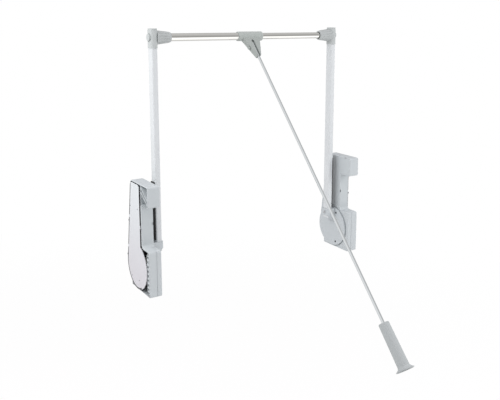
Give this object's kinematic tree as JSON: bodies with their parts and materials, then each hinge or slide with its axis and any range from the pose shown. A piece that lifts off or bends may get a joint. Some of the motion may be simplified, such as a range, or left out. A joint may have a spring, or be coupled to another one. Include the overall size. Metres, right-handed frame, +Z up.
{
  "type": "pull down closet rod",
  "caption": "Wardrobe lift: two wall units with sprung swinging arms carry a telescopic hanging rail, brought down and forward by a pull rod on a sleeve.",
  "frame": {"origin": "where the lift axis meets the left wall, on the back face of the left wall plate", "axes": "+X along the rail from the left wall to the right wall, +Y to the rear of the wardrobe, +Z up"},
  "size_m": [0.87, 0.8841, 0.9148],
  "materials": {
    "casing_plastic": "cool grey moulded plastic, satin",
    "cover_plastic": "cool grey moulded plastic, satin",
    "wall_plate_paint": "pale lilac-grey powder coat",
    "bush_plastic": "natural acetal",
    "machined_steel": "ground steel",
    "spring_steel": "oil-hardened spring steel",
    "screw_steel": "zinc-plated steel",
    "hub_plastic": "grey moulded plastic, satin",
    "disc_plastic": "cool grey moulded plastic, satin",
    "gear_plastic": "glass-filled nylon",
    "buffer_rubber": "black rubber",
    "damper_paint": "black enamel",
    "arm_paint": "lilac-white powder coat, satin",
    "elbow_plastic": "grey moulded plastic, satin",
    "cap_plastic": "grey moulded plastic, satin",
    "rail_chrome": "polished chrome plate",
    "sleeve_plastic": "grey moulded plastic, satin",
    "rod_chrome": "polished chrome plate",
    "grip_plastic": "grey moulded plastic, matt"
  },
  "bodies": {
    "left_fixed": {"left_casing": "casing_plastic", "left_inner_cover": "cover_plastic", "left_cover_screws": "screw_steel", "left_wall_plate": "wall_plate_paint", "left_bearing_block": "casing_plastic", "left_bearing_bush": "bush_plastic", "left_rack_guide": "casing_plastic", "left_buffer": "buffer_rubber", "left_spring_seat": "casing_plastic", "left_spring": "spring_steel", "left_damper_cylinder": "damper_paint"},
    "left_lift": {"left_hub": "hub_plastic", "left_hub_disc": "disc_plastic", "left_hub_screws": "screw_steel", "left_shaft": "machined_steel", "left_shaft_clip": "spring_steel", "left_pinion": "gear_plastic", "left_arm": "arm_paint", "left_arm_strip": "buffer_rubber", "left_arm_screw": "screw_steel", "left_elbow": "elbow_plastic", "left_elbow_cap": "cap_plastic", "left_rail_bolt": "screw_steel", "left_rail_plug": "bush_plastic", "outer_rail_tube": "rail_chrome", "rail_glide": "bush_plastic"},
    "left_rack_body": {"left_rack": "gear_plastic", "left_damper_rod": "machined_steel"},
    "right_fixed": {"right_casing": "casing_plastic", "right_inner_cover": "cover_plastic", "right_cover_screws": "screw_steel", "right_wall_plate": "wall_plate_paint", "right_bearing_block": "casing_plastic", "right_bearing_bush": "bush_plastic", "right_rack_guide": "casing_plastic", "right_buffer": "buffer_rubber", "right_spring_seat": "casing_plastic", "right_spring": "spring_steel", "right_damper_cylinder": "damper_paint"},
    "right_lift": {"right_hub": "hub_plastic", "right_hub_disc": "disc_plastic", "right_hub_screws": "screw_steel", "right_shaft": "machined_steel", "right_shaft_clip": "spring_steel", "right_pinion": "gear_plastic", "right_arm": "arm_paint", "right_arm_strip": "buffer_rubber", "right_arm_screw": "screw_steel", "right_elbow": "elbow_plastic", "right_elbow_cap": "cap_plastic", "right_rail_bolt": "screw_steel", "right_rail_plug": "bush_plastic", "inner_rail_tube": "rail_chrome"},
    "right_rack_body": {"right_rack": "gear_plastic", "right_damper_rod": "machined_steel"},
    "handle": {"rail_sleeve": "sleeve_plastic", "sleeve_screw": "screw_steel", "rod_pin": "screw_steel", "pull_rod": "rod_chrome", "grip": "grip_plastic"}
  },
  "joints": [
    {"name": "width_adjust", "type": "slide", "parent": "left_fixed", "child": "right_fixed", "axis": [1, 0, 0], "range_m": [-0.04, 0.28]},
    {"name": "left_lift_swing", "type": "hinge", "parent": "left_fixed", "child": "left_lift", "pos_m": [0, 0, 0], "axis": [1, 0, 0], "range_deg": [0, 115], "stiffness_Nm_per_rad": 5, "springref_deg": -68.75},
    {"name": "right_lift_swing", "type": "hinge", "parent": "right_fixed", "child": "right_lift", "pos_m": [0.87, 0, 0], "axis": [1, 0, 0], "range_deg": [0, 115], "stiffness_Nm_per_rad": 5, "springref_deg": -68.75},
    {"name": "left_rack_stroke", "type": "slide", "parent": "left_fixed", "child": "left_rack_body", "axis": [0, 0, 1], "range_m": [0, 0.0445], "deforming": ["left_spring"]},
    {"name": "right_rack_stroke", "type": "slide", "parent": "right_fixed", "child": "right_rack_body", "axis": [0, 0, 1], "range_m": [0, 0.0445], "deforming": ["right_spring"]},
    {"name": "sleeve_turn", "type": "hinge", "parent": "left_lift", "child": "handle", "pos_m": [0.435, 0, 0.74], "axis": [1, 0, 0], "continuous": true}
  ],
  "couplings": [
    {"joint": "right_lift_swing", "follows": "left_lift_swing", "ratio": 1},
    {"joint": "left_rack_stroke", "follows": "left_lift_swing", "m_per_rad": 0.022},
    {"joint": "right_rack_stroke", "follows": "left_lift_swing", "m_per_rad": 0.022}
  ]
}
